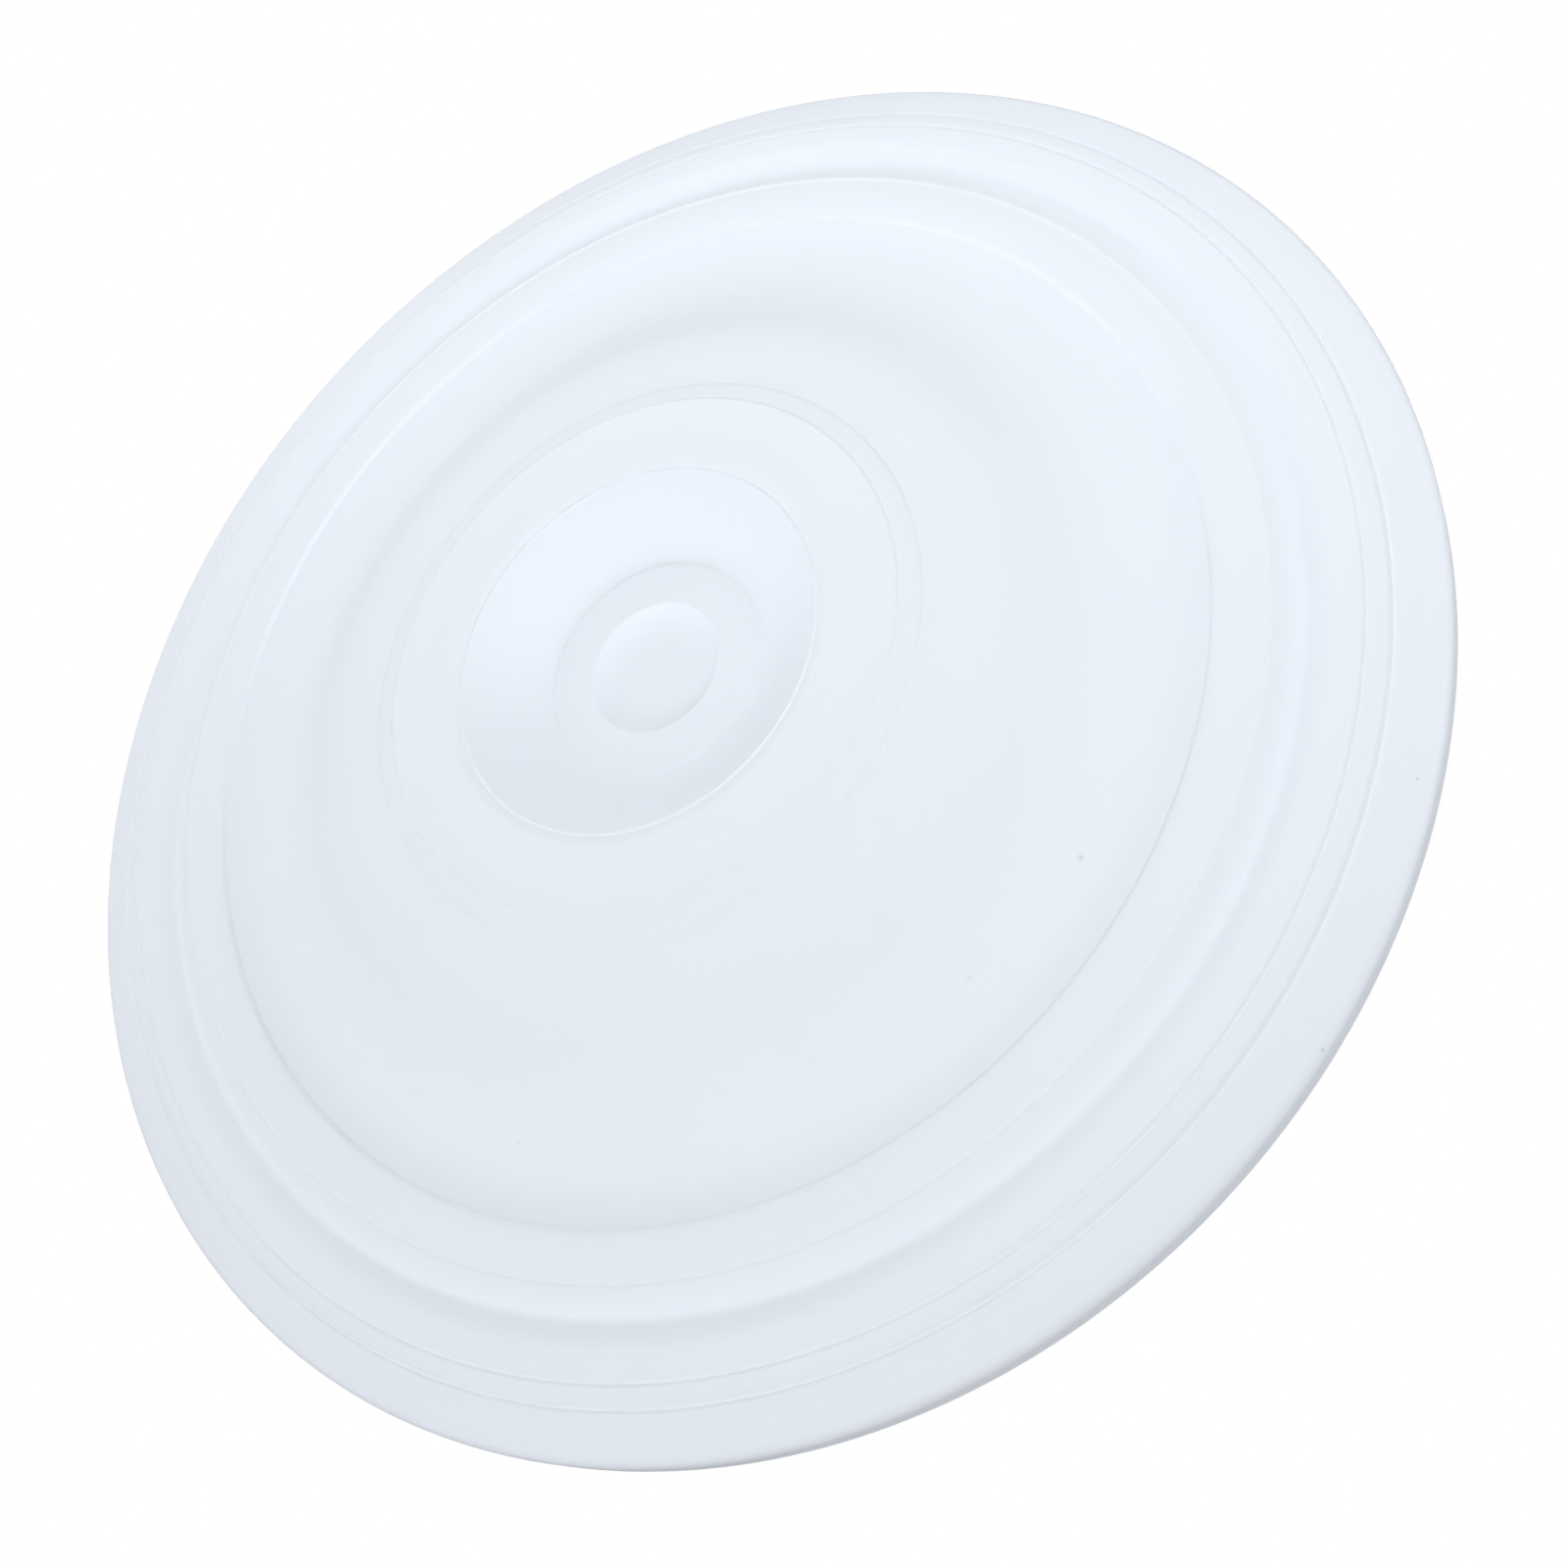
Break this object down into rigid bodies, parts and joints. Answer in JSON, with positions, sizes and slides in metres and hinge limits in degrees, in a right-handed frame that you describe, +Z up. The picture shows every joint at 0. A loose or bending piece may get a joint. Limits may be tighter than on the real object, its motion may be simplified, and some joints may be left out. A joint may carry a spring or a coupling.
{
  "type": "ceiling rose",
  "caption": "Round white ceiling rose with stepped and swelling border mouldings, a broad sweeping field, a raised collar and a shallow bowl in the middle.",
  "frame": {"origin": "centre of the flat back, in the plane that rests against the ceiling", "axes": "+Z up along the axis of the rose, out of its back towards the ceiling; the moulded face looks down, -Z; X and Y lie in the ceiling plane and are equal"},
  "size_m": [0.48, 0.48, 0.0408],
  "materials": {
    "rose_white": "matt white, factory primed"
  },
  "bodies": {
    "root": {"ceiling_rose": "rose_white"}
  },
  "joints": []
}
